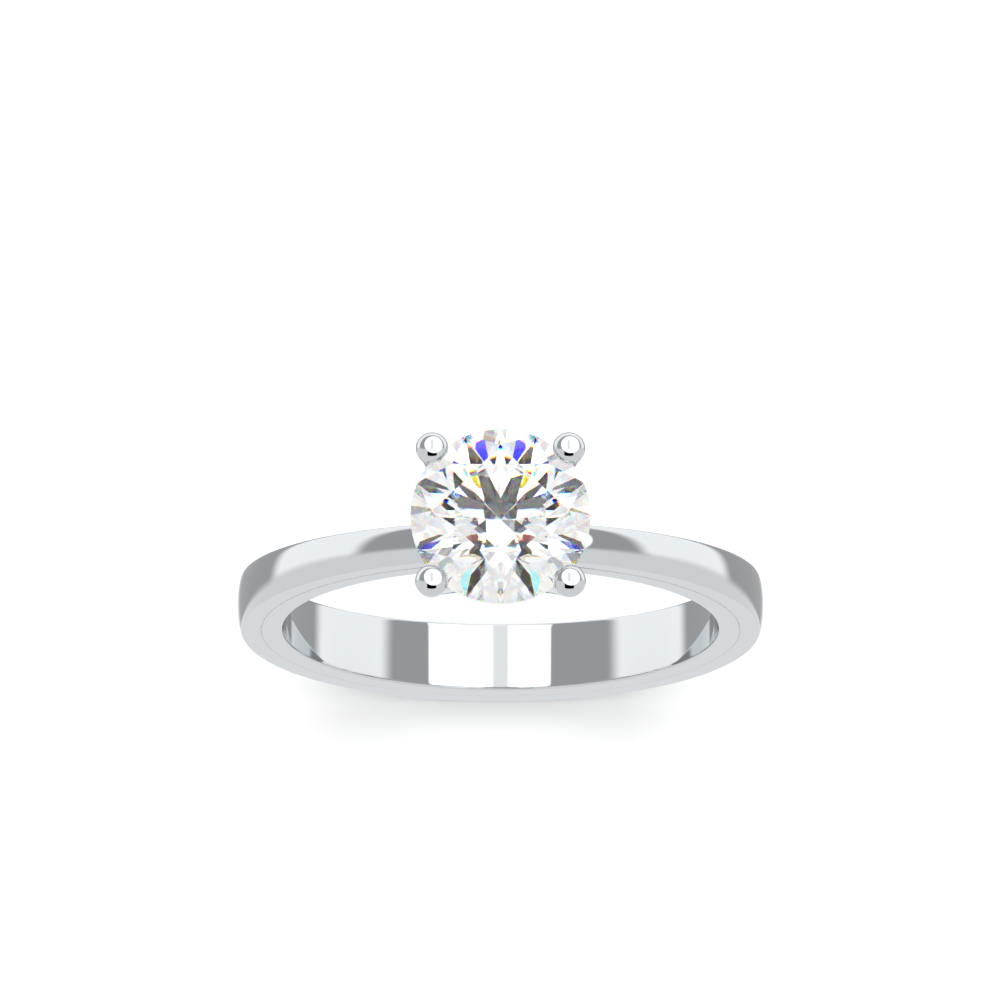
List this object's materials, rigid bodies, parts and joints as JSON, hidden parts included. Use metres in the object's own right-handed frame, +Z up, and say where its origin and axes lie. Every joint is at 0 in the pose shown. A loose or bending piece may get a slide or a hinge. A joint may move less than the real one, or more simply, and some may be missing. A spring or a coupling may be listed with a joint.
{
  "type": "solitaire engagement ring",
  "caption": "Solitaire engagement ring: a tapered, domed polished white-metal shank with a claw head that holds a round brilliant stone.",
  "frame": {"origin": "centre of the finger hole, on its axis and midway across the shank's width", "axes": "+Y along the finger, +Z up through the stone, +X to the right when looking along +Y"},
  "size_m": [0.0204, 0.0066, 0.0247],
  "materials": {
    "polished_white_gold": "mirror polish",
    "polished_claw_wire": "mirror polish",
    "white_solder": "polished",
    "diamond": "faceted and polished"
  },
  "bodies": {
    "root": {"shank": "polished_white_gold", "base_rail": "polished_white_gold", "gallery_rail": "polished_white_gold", "claw_back_left": "polished_claw_wire", "claw_back_right": "polished_claw_wire", "claw_front_left": "polished_claw_wire", "claw_front_right": "polished_claw_wire", "solder_left": "white_solder", "solder_right": "white_solder", "stone": "diamond"}
  },
  "joints": []
}
